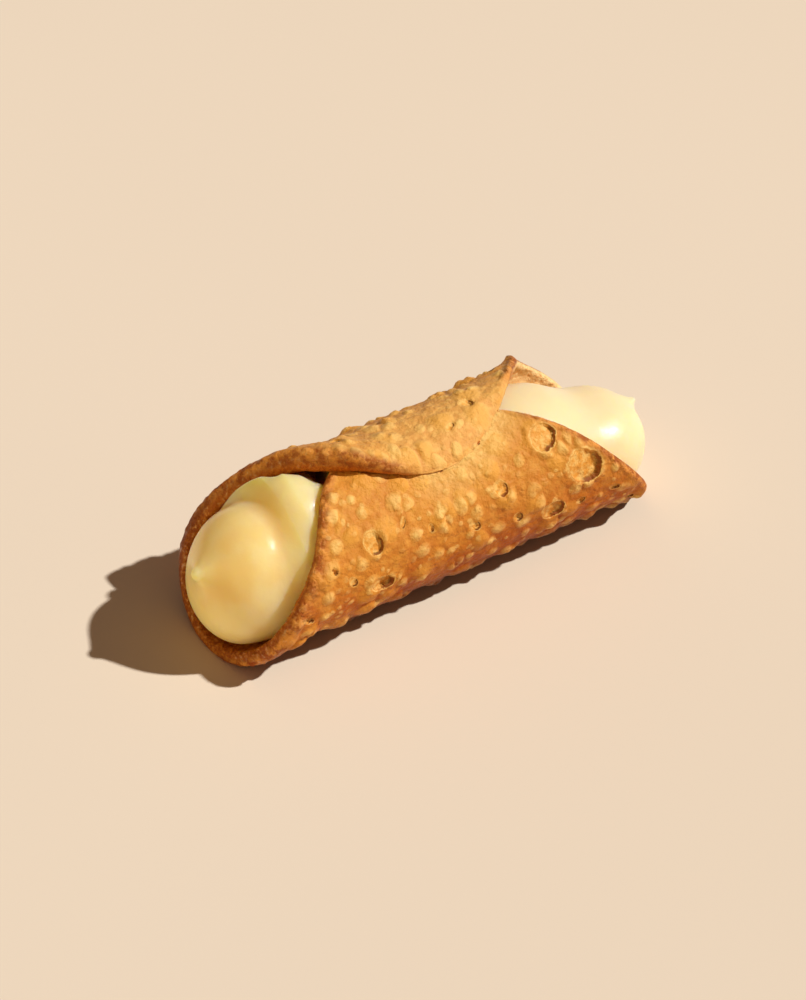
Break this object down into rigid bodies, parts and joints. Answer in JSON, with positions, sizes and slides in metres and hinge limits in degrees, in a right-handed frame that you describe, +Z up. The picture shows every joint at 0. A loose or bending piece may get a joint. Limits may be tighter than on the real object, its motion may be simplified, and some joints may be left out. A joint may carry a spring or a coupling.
{
  "type": "filled cannolo",
  "caption": "Fried dough tube with two edges crossed along its top, slanting open mouths and a blistered skin, filled from end to end with pale yellow piped cream.",
  "frame": {"origin": "under the middle of the whole, on the plane the underside rests on", "axes": "+X along the tube, towards the end whose cream sags furthest out of it; +Z up, out of the side where the two edges of dough cross; +Y towards the side whose dough lies on top at the crossing"},
  "size_m": [0.1155, 0.0408, 0.0437],
  "materials": {
    "fried_shell": "fried dough, golden brown with paler blisters and darker rims, faintly oily",
    "cream": "smooth moist custard cream, soft sheen"
  },
  "bodies": {
    "root": {"shell": "fried_shell", "cream": "cream"}
  },
  "joints": []
}
